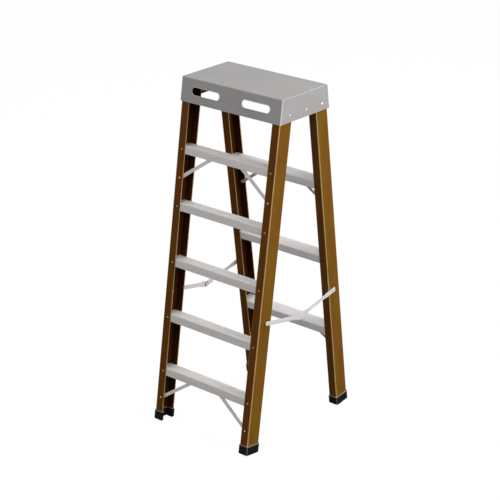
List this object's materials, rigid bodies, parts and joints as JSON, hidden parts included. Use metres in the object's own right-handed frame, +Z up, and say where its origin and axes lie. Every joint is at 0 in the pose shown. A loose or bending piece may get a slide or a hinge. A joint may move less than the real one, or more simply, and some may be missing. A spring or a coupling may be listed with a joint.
{
  "type": "step ladder",
  "caption": "Folding step ladder with fibreglass channel rails, aluminium steps and knee braces, a sheet cap with hand slots, folding spreaders and rubber shoes.",
  "frame": {"origin": "on the floor, under the middle of the base of the open ladder", "axes": "+Z up; +X to the right of someone who faces the steps; +Y from the steps towards the rear frame"},
  "size_m": [0.6718, 0.8726, 1.87],
  "materials": {
    "cap": "light grey satin coat on folded aluminium sheet",
    "fibreglass": "golden brown pultruded glass-fibre channel, satin, with a paler edge",
    "aluminium": "mill-finish extruded and pressed aluminium, brushed along its length",
    "rivet": "bright formed rivet heads",
    "rubber": "black moulded rubber, matt"
  },
  "bodies": {
    "front_frame": {"top_cap": "cap", "cap_bracket_left": "aluminium", "cap_bracket_right": "aluminium", "front_rail_left": "fibreglass", "front_rail_right": "fibreglass", "front_step_1": "aluminium", "front_step_2": "aluminium", "front_step_3": "aluminium", "front_step_4": "aluminium", "front_step_5": "aluminium", "front_brace_lower_left": "aluminium", "front_brace_lower_right": "aluminium", "front_brace_upper_left": "aluminium", "front_brace_upper_right": "aluminium", "front_shoe_left": "rubber", "front_shoe_right": "rubber", "spreader_front_pin_left": "rivet", "cap_front_rivet_left": "rivet", "cap_middle_rivet_left": "rivet", "fold_pin_left": "rivet", "brace_rivet_lower_left": "rivet", "brace_rivet_upper_left": "rivet", "step_rivet_1_left": "rivet", "step_rivet_2_left": "rivet", "step_rivet_3_left": "rivet", "step_rivet_4_left": "rivet", "step_rivet_5_left": "rivet", "spreader_front_pin_right": "rivet", "cap_front_rivet_right": "rivet", "cap_middle_rivet_right": "rivet", "fold_pin_right": "rivet", "brace_rivet_lower_right": "rivet", "brace_rivet_upper_right": "rivet", "step_rivet_1_right": "rivet", "step_rivet_2_right": "rivet", "step_rivet_3_right": "rivet", "step_rivet_4_right": "rivet", "step_rivet_5_right": "rivet"},
    "rear_frame": {"rear_rail_left": "fibreglass", "rear_rail_right": "fibreglass", "rear_tread_1": "aluminium", "rear_tread_2": "aluminium", "rear_tread_3": "aluminium", "rear_brace_lower_left": "aluminium", "rear_brace_lower_right": "aluminium", "rear_brace_upper_left": "aluminium", "rear_brace_upper_right": "aluminium", "rear_shoe_left": "rubber", "rear_shoe_right": "rubber", "spreader_rear_pin_left": "rivet", "spreader_rear_pin_right": "rivet"},
    "front_link_left": {"spreader_front_link_left": "aluminium", "knuckle_rivet_outer_left": "rivet"},
    "rear_link_left": {"spreader_rear_link_left": "aluminium", "knuckle_rivet_inner_left": "rivet"},
    "front_link_right": {"spreader_front_link_right": "aluminium", "knuckle_rivet_outer_right": "rivet"},
    "rear_link_right": {"spreader_rear_link_right": "aluminium", "knuckle_rivet_inner_right": "rivet"}
  },
  "joints": [
    {"name": "fold", "type": "hinge", "parent": "front_frame", "child": "rear_frame", "pos_m": [0, 0.15312, 1.778], "axis": [-1, 0, 0], "range_deg": [0, 21.2]},
    {"name": "front_link_left_swing", "type": "hinge", "parent": "front_frame", "child": "front_link_left", "pos_m": [-0.3285, -0.27691, 0.713], "axis": [-1, 0, 0], "range_deg": [-93, 0]},
    {"name": "rear_link_left_swing", "type": "hinge", "parent": "rear_frame", "child": "rear_link_left", "pos_m": [-0.3285, 0.28311, 0.713], "axis": [-1, 0, 0], "range_deg": [0, 54.6]},
    {"name": "front_link_right_swing", "type": "hinge", "parent": "front_frame", "child": "front_link_right", "pos_m": [0.3285, -0.27691, 0.713], "axis": [-1, 0, 0], "range_deg": [-93, 0]},
    {"name": "rear_link_right_swing", "type": "hinge", "parent": "rear_frame", "child": "rear_link_right", "pos_m": [0.3285, 0.28311, 0.713], "axis": [-1, 0, 0], "range_deg": [0, 54.6]}
  ],
  "couplings": [
    {"joint": "front_link_left_swing", "follows": "fold", "ratio": -4.3767},
    {"joint": "rear_link_left_swing", "follows": "fold", "ratio": 2.5671},
    {"joint": "front_link_right_swing", "follows": "fold", "ratio": -4.3767},
    {"joint": "rear_link_right_swing", "follows": "fold", "ratio": 2.5671}
  ]
}
